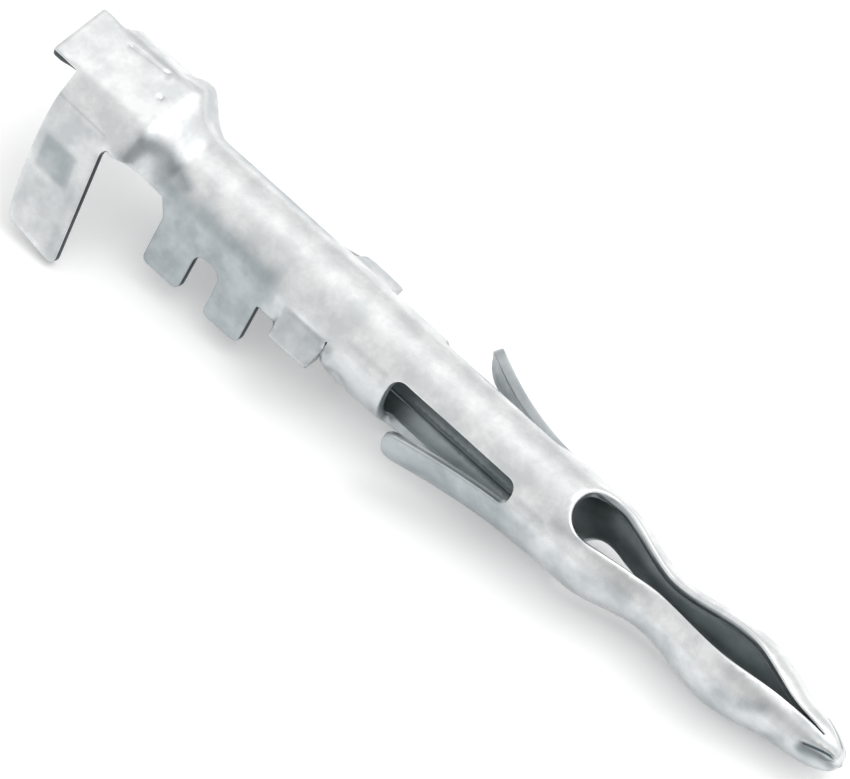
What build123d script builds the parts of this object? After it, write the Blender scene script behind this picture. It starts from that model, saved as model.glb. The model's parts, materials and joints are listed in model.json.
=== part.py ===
"""Crimp pin contact: one folded strip of tinned brass, from the wire end to the split pin.

The contact is drawn along +X from its wire end, with its rolled back up (+Z) and its crimp
wings down, and is then laid as it comes to rest: on the tips of the insulation wings and on
the underside of the pin's bulge.  All sizes are in millimetres.
"""
from build123d import *
import math
import os

os.makedirs("parts", exist_ok=True)

# Sheet and rolled tube
sheet = 0.25                        # thickness of the strip
tube_radius = 1.215                 # outside radius of the rolled tube

# Carrier tab at the wire end
tab_length = 0.77
tab_width = 1.72
tab_corner = 0.08

# Insulation barrel: a flat floor, two leaning walls, and two long wings below a crease
floor_height = 1.76                 # outer face of the floor above the tube's axis
floor_half_width = 0.62
floor_bend_radius = 0.55            # outer radius of the bend between floor and wall
wall_flare = 42.0                   # degrees from upright
wall_length = 0.60
wing_flare = 31.0                   # degrees from upright
wing_length = 3.41                  # from the crease to the tip's front corner
wing_tip_slope = 0.21               # the tip's rear corner is shorter by this much
wing_start = tab_length             # rear edge at the crease
wing_width = 1.59
wing_lean = {-1: 0.57, 1: -0.20}    # the two tips lean apart, so that they can pass
wing_bow = 0.12                     # hollow of the wing's rear and front edges
wing_corner = 0.16

# Neck: the walls swell at the shoulder, then draw in and the section turns round
neck_start = 2.36
shoulder_x = 2.82
shoulder_swell = 0.24
swell_corners = ((0.55, 0.2), (0.4, 0.0), (0.0, 0.0))   # shares out and up: crease, ends of the bend
swell_middles = ((0.48, 0.1), (0.2, 0.0))               # shares between them
neck_sections = 9
rounding_start = 3.00               # the walls begin to draw in
swell_end = 3.60
neck_front = 4.06
notch_radius = 0.26                 # corner between the wing's front edge and the neck's lower edge
notch_drop = 0.06                   # the wall reaches this far below the crease there
notch_run, notch_fade = 0.31, 0.78  # that drop is whole, and is gone, this far in front of the wing

# Conductor barrel
barrel_angle = 68.0                 # where the round floor turns into the straight wings
barrel_shares = (1.0, 0.64, 0.32)   # corners of the round floor, as shares of that angle
barrel_flare = 90.0 - barrel_angle
barrel_wall = 0.53                  # height of the plain wall, along the wing
neck_wall = 0.43                    # where the wall behind the first wing ends
neck_wall_gap = 0.03
barrel_wing_length = 1.70
barrel_wing_1 = (4.35, 5.50)
barrel_wing_2 = (6.30, 7.43)
barrel_wing_corner = 0.14
notch_corner_rear, notch_corner_front = 0.22, 0.34
barrel_front = 8.02
serration_start = 4.85              # three grooves across the inside, where the wire is crimped
serration_pitch = 1.0
serration_count = 3
serration_width, serration_depth = 0.24, 0.05

# Ears in front of the conductor barrel
ear_angle = 65.0
ear_flare = 46.0
ear_length = 0.81
ear_start, ear_front = 7.98, 9.38
ear_slant = 0.17
ear_corner = 0.13
ear_root = 0.12                     # how far the flap reaches back into the wall

# Seam, windows and locking lances of the tube
tube_start = 9.42
rim_slant_top, rim_slant_foot = -0.16, -0.64            # heights between which the rear rim slants
rim_foot_x = 10.02                  # the rim's lower part starts here
seam_gap = 0.07
window_start, window_front = 11.25, 15.20
window_half_angle = 50.0
window_corner = 0.30
lance_tip = 12.00
lance_half_angle = 23.0             # the lance keeps the curve of the wall that it is cut from
lance_slant = 0.12                  # its end is longer on the side of the back
lance_corner_upper, lance_corner_lower = 0.25, 0.50
lance_spread = 0.70                 # how far the free end stands out of the tube
lance_root = 17.00                  # the bend starts here
lance_sink = 0.02                   # its root lies this far in the wall
lance_sections = 6

# Split pin: runs along the axis from one station to the next, and the outer radius at each
shoulder_start = 17.15
waist_run, waist_radius = 2.20, 0.79
bulge_run, bulge_radius = 2.10, 1.065
taper_run, nose_neck_radius = 1.95, 0.70
nose_length = 1.65
nose_mid_run, nose_mid_radius = 0.60, 0.52              # run from the tip of the nose
nose_slope = 0.16                   # fall of the outline behind the nose
nose_powers = 3.0, 0.75             # fullness of the nose, for the points on its outside
bore_end_run, bore_end_radius = 0.53, 0.10  # the prongs are folded shut from here to the tip

# Slots between the two prongs: runs and half widths at their stations
keyhole_lead = 0.69                 # the keyhole starts this far behind the pin's shoulder
keyhole_radius = 0.73
slot_shoulder_run, slot_shoulder = 0.66, 0.60
slot_taper_run, slot_taper = 0.60, 0.43
slot_waist, slot_bulge = 0.26, 0.46
slot_nose_lead, slot_nose = 0.20, 0.11
slot_end_run, slot_end_width = 0.65, 0.02
slot_foot = 0.15                    # the slots' slanted faces are drawn from this height up
seam_slot_extra = 0.07              # the slot on the seam side is wider by this much

# Darts where the nose is folded shut: runs from the tip, and angles from the top
dart_start_run, dart_front_run = 0.93, 0.13
dart_angle_start, dart_angle_front = 58.0, 34.0
dart_width = 0.13
dart_depth = 0.22

# Stations that follow from the runs
waist_x = shoulder_start + waist_run
bulge_x = waist_x + bulge_run
nose_neck_x = bulge_x + taper_run
total_length = nose_neck_x + nose_length
nose_mid_x = total_length - nose_mid_run
bore_end = total_length - bore_end_run
keyhole_x = shoulder_start - keyhole_lead + keyhole_radius
slot_shoulder_x = keyhole_x + slot_shoulder_run
slot_taper_x = slot_shoulder_x + slot_taper_run
slot_nose_x = nose_neck_x - slot_nose_lead
slot_end = total_length - slot_end_run


def polar(radius, angle):
    """Point on a circle round the axis, at an angle from its top, as (across, up)."""
    a = math.radians(angle)
    return (radius * math.sin(a), radius * math.cos(a))


def floor_outline(inset):
    """Insulation barrel from the crease up to the middle of its floor.

    Returns the three corners, the middles of the two edges between them, and the top point.
    """
    bend = 90.0 - wall_flare
    flare = math.radians(wall_flare)
    radius = floor_bend_radius - inset
    arc_end, arc_mid = (
        (floor_half_width + polar(radius, a)[0], floor_height - floor_bend_radius + polar(radius, a)[1])
        for a in (bend, bend / 2)
    )
    crease = (arc_end[0] + wall_length * math.sin(flare), arc_end[1] - wall_length * math.cos(flare))
    wall_mid = ((crease[0] + arc_end[0]) / 2, (crease[1] + arc_end[1]) / 2)
    top = floor_height - inset
    return [crease, arc_end, (floor_half_width, top)], [wall_mid, arc_mid], (0.0, top)


def round_outline(inset):
    """The same points on the round floor of the conductor barrel."""
    radius = tube_radius - inset
    angles = [barrel_angle * share for share in barrel_shares]
    corners = [polar(radius, angle) for angle in angles]
    middles = [polar(radius, (a + b) / 2) for a, b in zip(angles, angles[1:])]
    return corners, middles, (0.0, radius)


def channel_outline(inset, blend, swell):
    """Both halves of a section between the flat floor (blend 0) and the round one (blend 1)."""
    flat, rounded = floor_outline(inset), round_outline(inset)

    def between(p, q, share=(0.0, 0.0)):
        across, height = (a + (b - a) * blend + swell * k for a, b, k in zip(p, q, share))
        return (across, height)

    corners = [between(p, q, share) for p, q, share in zip(flat[0], rounded[0], swell_corners)]
    middles = [between(p, q, share) for p, q, share in zip(flat[1], rounded[1], swell_middles)]
    top = between(flat[2], rounded[2])
    other_corners = [(-across, up) for across, up in corners]
    other_middles = [(-across, up) for across, up in middles]
    return other_corners + corners[::-1], other_middles + [top] + middles[::-1]


def edge_through(start, middle, end):
    """An arc through three points, or a line where they lie in line."""
    bow = (middle[0] - start[0]) * (end[1] - start[1]) - (middle[1] - start[1]) * (end[0] - start[0])
    if abs(bow) < 1e-6:
        return Line(start, end)
    return ThreePointArc(start, middle, end)


def smooth(x, start, end):
    """Smooth step from 0 at start to 1 at end."""
    t = min(max((x - start) / (end - start), 0.0), 1.0)
    return t * t * (3 - 2 * t)


def channel_face(x):
    """One section of the folded channel, as a face across the axis at x."""
    blend = smooth(x, rounding_start, neck_front)
    swell = shoulder_swell * smooth(x, neck_start, shoulder_x) * (1 - smooth(x, rounding_start, swell_end))
    outer, outer_mids = channel_outline(0.0, blend, swell)
    inner, inner_mids = channel_outline(sheet, blend, swell)
    edges = [edge_through(outer[i], outer_mids[i], outer[i + 1]) for i in range(5)]
    edges.append(Line(outer[5], inner[5]))
    edges += [edge_through(inner[i + 1], inner_mids[i], inner[i]) for i in reversed(range(5))]
    edges.append(Line(inner[0], outer[0]))
    return Plane.YZ.offset(x) * Face(Wire(edges))


def flap_plane(side, corner, flare):
    """Plane of a flap that hangs from a corner line: x along the pin, y down the flap."""
    a = math.radians(flare)
    return Plane(origin=(0, side * corner[0], corner[1]), x_dir=(1, 0, 0),
                 z_dir=(0, math.cos(a), side * math.sin(a)))


def insulation_wing(side):
    """One insulation wing with its bowed edges, rounded tip corners and rounded front root."""
    lean = wing_lean[side]
    bow = wing_bow if side < 0 else 0
    rear, front = (wing_start, 0), (wing_start + wing_width, notch_drop)
    rear_tip = (rear[0] + lean, wing_length - wing_tip_slope)
    front_tip = (front[0] + lean, wing_length)
    drop_end, crease_end = (front[0] + notch_run, notch_drop), (front[0] + notch_fade, 0)
    with BuildPart() as wing:
        with BuildSketch(flap_plane(side, floor_outline(0)[0][0], wing_flare)) as outline:
            with BuildLine():
                edge_through(rear, ((rear[0] + rear_tip[0]) / 2 - bow, rear_tip[1] / 2), rear_tip)
                Line(rear_tip, front_tip)
                edge_through(front_tip, ((front[0] + front_tip[0]) / 2 - bow, front_tip[1] / 2), front)
                Polyline(front, drop_end, crease_end, rear)
            make_face()
            fillet(outline.vertices().sort_by(Axis.Y)[-2:], wing_corner)
            fillet(outline.vertices().sort_by_distance(front)[0], notch_radius)
        extrude(amount=-side * sheet)
    return wing.part


def barrel_wings(side):
    """Both conductor wings of one side, with the plain wall and the notches between them."""
    rear_1, front_1 = barrel_wing_1
    rear_2, front_2 = barrel_wing_2
    points = [
        (neck_front, 0), (rear_1 - neck_wall_gap, neck_wall), (rear_1, barrel_wing_length),
        (front_1, barrel_wing_length), (front_1, barrel_wall), (rear_2, barrel_wall),
        (rear_2, barrel_wing_length), (front_2, barrel_wing_length), (front_2, barrel_wall),
        (barrel_front, barrel_wall), (barrel_front, 0),
    ]
    with BuildPart() as wings:
        with BuildSketch(flap_plane(side, polar(tube_radius, barrel_angle), barrel_flare)) as outline:
            with BuildLine():
                Polyline(points, close=True)
            make_face()
            fillet(outline.vertices().sort_by(Axis.Y)[-4:], barrel_wing_corner)
            fillet(outline.vertices().sort_by_distance((front_1, barrel_wall))[0], notch_corner_rear)
            fillet(outline.vertices().sort_by_distance((rear_2, barrel_wall))[0], notch_corner_front)
        extrude(amount=-side * sheet)
    return wings.part


def ear(side):
    """One ear, a short flap with a slanted rear edge."""
    with BuildPart() as flap:
        with BuildSketch(flap_plane(side, polar(tube_radius, ear_angle), ear_flare)) as outline:
            with BuildLine():
                Polyline((ear_start, -ear_root), (ear_start + ear_slant, ear_length),
                         (ear_front, ear_length), (ear_front, -ear_root), close=True)
            make_face()
            fillet(outline.vertices().sort_by(Axis.Y)[-2:], ear_corner)
        extrude(amount=-side * sheet)
    return flap.part


def pin_profile(inset, end_x, end_radius=0.0):
    """Half profile of the tube and the pin beside the axis, drawn in by an inset."""
    tube, waist, bulge, nose_neck = (
        r - inset for r in (tube_radius, waist_radius, bulge_radius, nose_neck_radius)
    )
    with BuildSketch(Plane.XZ) as profile:
        with BuildLine():
            Polyline((neck_front, 0), (neck_front, tube), (shoulder_start, tube))
            Spline([(shoulder_start, tube), (waist_x, waist)], tangents=[(1, 0), (1, 0)])
            Spline([(waist_x, waist), (bulge_x, bulge)], tangents=[(1, 0), (1, 0)])
            Spline([(bulge_x, bulge), (nose_neck_x, nose_neck)], tangents=[(1, 0), (1, -nose_slope)])
            if end_radius:
                Spline([(nose_neck_x, nose_neck), (end_x, end_radius)],
                       tangents=[(1, -nose_slope), (1, -1)])
                Line((end_x, end_radius), (end_x, 0))
            else:
                Spline([(nose_neck_x, nose_neck), (nose_mid_x, nose_mid_radius), (end_x, 0)],
                       tangents=[(1, -nose_slope), (0, -1)])
            Line((end_x, 0), (neck_front, 0))
        make_face()
    return profile.sketch


def nose_point(x, angle):
    """Point on the outside of the nose, at an angle from its top on the near side."""
    share = (x - nose_neck_x) / (total_length - nose_neck_x)
    inner_power, outer_power = nose_powers
    radius = nose_neck_radius * (1 - share ** inner_power) ** outer_power
    across, up = polar(radius, angle)
    return Vector(x, -across, up)


def pin_radius(x):
    """Outer radius between the pin's stations, for the slant of the slots' faces."""
    stations = [
        (shoulder_start, tube_radius), (waist_x, waist_radius),
        (bulge_x, bulge_radius), (nose_neck_x, nose_neck_radius), (total_length, nose_mid_radius),
    ]
    radius = tube_radius
    for (start, first), (end, last) in zip(stations, stations[1:]):
        if x > start:
            radius = first + (last - first) * smooth(x, start, end)
    return radius


def slot_cutter(extra, direction):
    """Slot between the prongs on one side, cut square to the wall: a keyhole, then a gap."""
    stations = [
        (keyhole_x, keyhole_radius + extra), (slot_shoulder_x, slot_shoulder + extra),
        (slot_taper_x, slot_taper + extra), (waist_x, slot_waist + extra),
        (bulge_x, slot_bulge + extra),
        (slot_nose_x, slot_nose + extra / 2), (slot_end, slot_end_width),
    ]
    slants = [(x, width / math.sqrt(pin_radius(x) ** 2 - width ** 2)) for x, width in stations]
    with BuildPart() as cutter:
        for height in (slot_foot, 2 * tube_radius):
            half = [(x, slant * height) for x, slant in slants]
            with BuildSketch(Plane.XY.offset(direction * height)):
                with BuildLine():
                    upper = Spline(half, tangents=[(1, 0), (1, 0)])
                    lower = Spline([(x, -y) for x, y in half], tangents=[(1, 0), (1, 0)])
                    EllipticalCenterArc((keyhole_x, 0), keyhole_radius, half[0][1], 90, arc_size=180)
                    Line(upper @ 1, lower @ 1)
                make_face()
        loft(ruled=True)
    return cutter.part


def lance_face(side, x):
    """Section of a lance across the axis: a piece of the tube's wall, moved outwards."""
    way = (lance_root - x) / (lance_root - lance_tip)
    shift = (lance_spread + lance_sink) * way ** 2 - lance_sink
    angles = (90 - lance_half_angle, 90, 90 + lance_half_angle)
    outer, inner = (
        [(side * (polar(radius, angle)[0] + shift), polar(radius, angle)[1]) for angle in angles]
        for radius in (tube_radius, tube_radius - sheet)
    )
    edges = [
        ThreePointArc(outer), Line(outer[2], inner[2]),
        ThreePointArc(inner[::-1]), Line(inner[0], outer[0]),
    ]
    return Plane.YZ.offset(x) * Face(Wire(edges))


def lance_strip(side):
    """One locking lance: the curved strip that bends out of the wall, with a rounded free end."""
    step = (lance_root - lance_tip) / (lance_sections - 1)
    faces = [lance_face(side, lance_tip + i * step) for i in range(lance_sections)]
    half_width = polar(tube_radius, lance_half_angle)[0]
    upper, lower = (lance_tip, half_width), (lance_tip + lance_slant, -half_width)
    with BuildPart() as strip:
        loft(faces)
        with BuildSketch(Plane.XZ) as outline:
            with BuildLine():
                Polyline(upper, lower, (lance_root, -half_width), (lance_root, half_width), close=True)
            make_face()
            fillet(outline.vertices().sort_by_distance(upper)[0], lance_corner_upper)
            fillet(outline.vertices().sort_by_distance(lower)[0], lance_corner_lower)
        extrude(amount=-side * 2 * tube_radius, mode=Mode.INTERSECT)
    return strip.part


def window_cutter(side):
    """What the punch takes out for one window: a radial wedge with rounded corners."""
    length = window_front - window_start
    half_height = polar(tube_radius, window_half_angle)[0]
    low, high = (polar(3 * tube_radius, 90 + a) for a in (window_half_angle, -window_half_angle))
    with BuildPart() as cutter:
        with BuildSketch(Plane.YZ.offset(window_start)):
            with BuildLine():
                Polyline((0, 0), (side * low[0], low[1]), (side * high[0], high[1]), close=True)
            make_face()
        extrude(amount=length)
        with BuildSketch(Plane.XZ.offset(-side * 3 * tube_radius)):
            with Locations((window_start + length / 2, 0)):
                RectangleRounded(length, 2 * half_height, window_corner)
        extrude(amount=side * 3 * tube_radius, mode=Mode.INTERSECT)
    return cutter.part


def open_side_cutter(span_start, span_end, angle):
    """What is missing below the round floor, between two radial planes."""
    reach = 2 * tube_radius
    left, right = polar(2 * reach, -angle), polar(2 * reach, angle)
    with BuildPart() as cutter:
        with BuildSketch(Plane.YZ.offset(span_start)):
            with BuildLine():
                Polyline((0, 0), left, (left[0], -reach), (right[0], -reach), right, close=True)
            make_face()
        extrude(amount=span_end - span_start)
    return cutter.part


def rim_cutter():
    """What is missing at the foot of the tube's rear rim, which slants forward on both sides."""
    reach = 2 * tube_radius
    with BuildPart() as cutter:
        with BuildSketch(Plane.XZ):
            with BuildLine():
                Polyline((barrel_front, rim_slant_top), (tube_start, rim_slant_top),
                         (rim_foot_x, rim_slant_foot), (rim_foot_x, -reach), (barrel_front, -reach),
                         close=True)
            make_face()
        extrude(amount=reach, both=True)
    return cutter.part


def dart_cutter(side):
    """The short groove where one flank of the nose is folded under the other."""
    start = nose_point(total_length - dart_start_run, dart_angle_start)
    front = nose_point(total_length - dart_front_run, dart_angle_front)
    start, front = (Vector(p.X, -side * p.Y, p.Z) for p in (start, front))
    outward = Vector(0, (start.Y + front.Y) / 2, (start.Z + front.Z) / 2)
    plane = Plane(origin=(start + front) * 0.5, x_dir=front - start, z_dir=outward)
    with BuildPart() as cutter:
        with BuildSketch(plane.offset(-dart_depth)):
            SlotOverall((front - start).length, dart_width)
        extrude(amount=2 * dart_depth)
    return cutter.part


sides = (-1, 1)
round_wall_flaps = [make(side) for make in (barrel_wings, ear, lance_strip) for side in sides]
insulation_wings = [insulation_wing(side) for side in sides]
window_cutters = [window_cutter(side) for side in sides]
open_side_cutters = [
    open_side_cutter(neck_front, barrel_front, barrel_angle),
    open_side_cutter(barrel_front, tube_start, ear_angle),
    rim_cutter(),
]
slot_cutters = [slot_cutter(0, 1), slot_cutter(seam_slot_extra, -1)]
dart_cutters = [dart_cutter(side) for side in sides]
skin_profile, bore_profile = pin_profile(0, total_length), pin_profile(sheet, bore_end, bore_end_radius)
neck_step = (neck_front - neck_start) / (neck_sections - 1)
neck_faces = [channel_face(neck_start + i * neck_step) for i in range(neck_sections)]
barrel_face = channel_face(tab_length)
serrations = [(serration_start + i * serration_pitch, tube_radius - sheet) for i in range(serration_count)]

with BuildPart() as pin_contact:
    # Tube and pin as one turned skin, open below at the wire end
    add(skin_profile)
    revolve(axis=Axis.X)
    for cutter in open_side_cutters + window_cutters:
        add(cutter, mode=Mode.SUBTRACT)

    # Flaps that stand out of the round wall, then the bore that trims their roots
    for piece in round_wall_flaps:
        add(piece)
    add(bore_profile)
    revolve(axis=Axis.X, mode=Mode.SUBTRACT)

    # Seam of the rolled tube and the slots between the prongs
    with Locations(((tube_start + keyhole_x) / 2, 0, -tube_radius)):
        Box(keyhole_x - tube_start, seam_gap, tube_radius, mode=Mode.SUBTRACT)
    for cutter in slot_cutters + dart_cutters:
        add(cutter, mode=Mode.SUBTRACT)

    # Serrations inside the conductor barrel
    with BuildSketch(Plane.XZ):
        with Locations(serrations):
            Rectangle(serration_width, 2 * serration_depth)
    revolve(axis=Axis.X, mode=Mode.SUBTRACT)

    # Neck and insulation barrel
    loft(neck_faces)
    extrude(barrel_face, amount=neck_start - tab_length, dir=(1, 0, 0))
    for piece in insulation_wings:
        add(piece)

    # Carrier tab, sheared square
    with BuildSketch(Plane.XY.offset(floor_height)) as tab:
        with Locations((tab_length / 2, 0)):
            Rectangle(tab_length, tab_width)
        fillet(tab.vertices().group_by(Axis.X)[0], tab_corner)
    extrude(amount=-sheet)

# At rest the contact lies on the tips of the insulation wings and on one edge of the seam slot
near_tip, far_tip = (wing.vertices().sort_by(Axis.Z)[0].center() for wing in insulation_wings)
slot_edge = slot_bulge + seam_slot_extra
pin_rest = Vector(bulge_x, -slot_edge, -math.sqrt(bulge_radius ** 2 - slot_edge ** 2))
up = (far_tip - near_tip).cross(near_tip - pin_rest).normalized()
along = Vector(1, 0, 0) - up * up.X
floor_plane = Plane(origin=pin_rest, x_dir=along, z_dir=up)
at_rest = floor_plane.to_local_coords(pin_contact.part)
box = at_rest.bounding_box()
stand = Location((-box.center().X, -box.center().Y, -box.min.Z))

contact = stand * at_rest
contact.label = "pin_contact"
export_step(contact, "parts/pin_contact.step")
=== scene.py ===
"""Crimp pin contact: one folded strip of tinned brass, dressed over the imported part.

The strip is cut out flat, with its windows, tongues and slots, and one Geometry Nodes tree
folds it in the part's own sizes and gives it its thickness.  Sizes are in millimetres in the
strip's own frame: +X from the wire end to the nose, +Z the rolled back, wings down.
"""
import json
import logging
import math
from dataclasses import dataclass
from enum import Enum

import bpy
import numpy as np
from mathutils import Matrix, Vector
from mathutils.geometry import delaunay_2d_cdt


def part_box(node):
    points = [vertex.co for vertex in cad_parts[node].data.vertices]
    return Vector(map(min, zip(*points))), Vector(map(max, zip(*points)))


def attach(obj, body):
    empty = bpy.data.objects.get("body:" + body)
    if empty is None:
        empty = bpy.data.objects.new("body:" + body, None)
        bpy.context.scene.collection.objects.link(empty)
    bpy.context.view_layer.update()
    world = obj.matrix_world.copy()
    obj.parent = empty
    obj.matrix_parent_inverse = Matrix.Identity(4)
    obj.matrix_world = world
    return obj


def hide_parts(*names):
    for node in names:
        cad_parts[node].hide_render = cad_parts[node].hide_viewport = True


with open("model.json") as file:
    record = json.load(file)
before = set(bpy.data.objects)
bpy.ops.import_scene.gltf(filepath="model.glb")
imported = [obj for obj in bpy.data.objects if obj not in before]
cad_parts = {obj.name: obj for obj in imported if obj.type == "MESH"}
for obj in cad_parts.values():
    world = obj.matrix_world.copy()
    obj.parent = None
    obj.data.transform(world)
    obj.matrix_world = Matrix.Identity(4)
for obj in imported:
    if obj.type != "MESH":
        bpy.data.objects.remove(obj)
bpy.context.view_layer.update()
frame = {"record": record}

MM = 0.001
LEAST_SQUARE = 1e-9                     # a run whose squared length is below this is a point
LOG = logging.getLogger("crimp_pin_contact")


def linear(hex_colour: str) -> tuple[float, float, float, float]:
    """Turn an sRGB hex colour into a linear one.

    Args:
        hex_colour: six hex digits, such as "c8ccd0".

    Returns:
        Red, green, blue and an alpha of one.
    """
    values = [int(hex_colour[i:i + 2], 16) / 255 for i in (0, 2, 4)]
    red, green, blue = (v / 12.92 if v <= 0.04045 else ((v + 0.055) / 1.055) ** 2.4 for v in values)
    return (red, green, blue, 1.0)


def add_node(tree: bpy.types.NodeTree, kind: str, settings: dict | None = None,
             inputs: dict | None = None) -> bpy.types.Node:
    """Add one node to a tree.

    Args:
        tree: the tree that gets the node.
        kind: the node's type name.
        settings: attributes to set on the node.
        inputs: what goes into its sockets, by name or index: an output socket or a value.

    Returns:
        The new node.
    """
    made = tree.nodes.new(kind)
    for name, value in (settings or {}).items():
        setattr(made, name, value)
    for key, value in (inputs or {}).items():
        if isinstance(value, bpy.types.NodeSocket):
            tree.links.new(value, made.inputs[key])
        else:
            made.inputs[key].default_value = value
    return made


class Term:
    """A number field of a node tree, written as arithmetic."""

    def __init__(self, tree: bpy.types.NodeTree, socket: bpy.types.NodeSocket) -> None:
        """Wrap an output socket of a tree."""
        self.tree = tree
        self.socket = socket

    def apply(self, operation: str, *others: "Term | float") -> "Term":
        """Add a math node that works on this term and the others, and return its result."""
        values = [self.socket] + [o.socket if isinstance(o, Term) else o for o in others]
        made = add_node(self.tree, "ShaderNodeMath", {"operation": operation}, dict(enumerate(values)))
        return Term(self.tree, made.outputs[0])

    def __add__(self, other: "Term | float") -> "Term":
        """Sum of two terms."""
        return self.apply("ADD", other)

    def __sub__(self, other: "Term | float") -> "Term":
        """Difference of two terms."""
        return self.apply("SUBTRACT", other)

    def __mul__(self, other: "Term | float") -> "Term":
        """Product of two terms."""
        return self.apply("MULTIPLY", other)

    def __truediv__(self, other: "Term | float") -> "Term":
        """Quotient of two terms."""
        return self.apply("DIVIDE", other)

    def between(self, low: "Term | float", high: "Term | float") -> "Term":
        """How far this term lies from low to high, kept within 0 and 1."""
        share = (self - low) / (high - low)
        return share.apply("MAXIMUM", 0.0).apply("MINIMUM", 1.0)

    def toward(self, other: "Term", share: "Term") -> "Term":
        """This term moved to another by a share."""
        return self + (other - self) * share


def smooth(x: np.ndarray, start: float, end: float) -> np.ndarray:
    """Rise smoothly from 0 at start to 1 at end."""
    t = np.clip((x - start) / (end - start), 0, 1)
    return t * t * (3 - 2 * t)


def band(x: np.ndarray, rise: tuple[float, float], fall: tuple[float, float]) -> np.ndarray:
    """Rise smoothly over one stretch and fall back over a later one."""
    return smooth(x, *rise) * (1 - smooth(x, *fall))


def distance_to(points: np.ndarray, start: np.ndarray, end: np.ndarray) -> np.ndarray:
    """Distance of points from the straight run between two others."""
    way = end - start
    share = np.clip((points - start) @ way / max(way @ way, LEAST_SQUARE), 0, 1)
    return np.linalg.norm(points - start - share[:, None] * way, axis=1)


@dataclass(frozen=True)
class Corner:
    """A corner of a cut outline, at a place along the strip and across it."""

    along: float
    across: float
    radius: float = 0.0


@dataclass(frozen=True)
class Loop:
    """A closed cut edge of the flat strip.

    Each stretch from a point to the next is a cut (1) or only where the strip closes (0), and
    cut edges are rounded over with the loop's radius.
    """

    points: np.ndarray
    rounded: np.ndarray
    radius: float


def trace(corners: list[Corner], step: float) -> np.ndarray:
    """Follow an open run of corners.

    Args:
        corners: the run's corners, the first and last of them sharp.
        step: greatest distance between points.

    Returns:
        The points along the run, with arcs at its rounded corners.
    """
    points = [np.array((corners[0].along, corners[0].across))]

    def run_to(target: np.ndarray) -> None:
        """Add evenly spaced points up to the target."""
        start = points[-1]
        count = max(1, math.ceil(np.linalg.norm(target - start) / step))
        points.extend(start + (target - start) * k / count for k in range(1, count + 1))

    for before, corner, after in zip(corners, corners[1:], corners[2:]):
        here = np.array((corner.along, corner.across))
        back = np.array((before.along, before.across)) - here
        ahead = np.array((after.along, after.across)) - here
        back, ahead = back / np.linalg.norm(back), ahead / np.linalg.norm(ahead)
        turn = math.pi - math.acos(np.clip(back @ ahead, -1, 1))
        if corner.radius == 0:
            run_to(here)
            continue
        reach = corner.radius * math.tan(turn / 2)
        centre = here + (back + ahead) / np.linalg.norm(back + ahead) * math.hypot(reach, corner.radius)
        first, last = here + back * reach - centre, here + ahead * reach - centre
        run_to(centre + first)
        count = max(2, math.ceil(corner.radius * turn / step))
        for k in range(1, count + 1):
            share = k / count
            spoke = first * math.sin(turn * (1 - share)) + last * math.sin(turn * share)
            points.append(centre + spoke / math.sin(turn))
    run_to(np.array((corners[-1].along, corners[-1].across)))
    return np.array(points)


@dataclass(frozen=True)
class PressMark:
    """A groove, line or dimple pressed into the strip; a depth below zero stands proud.

    Its painted darkness, from 0 to 1, is painted shade in its hollow or a painted dark reflection; a mark of
    no depth is only painted.
    """

    start: tuple[float, float]
    end: tuple[float, float]
    width: float
    depth: float
    painted_darkness: float = 0.0


@dataclass(frozen=True)
class Lance:
    """How one locking lance is bent out: where it ends, where its bend starts, how far it stands out."""

    tip: float
    root: float
    spread: float
    sink: float
    power: float


class SlotSide(Enum):
    """Where a slot between the prongs lies on the pin."""

    BACK = "back"
    SEAM = "seam"


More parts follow.
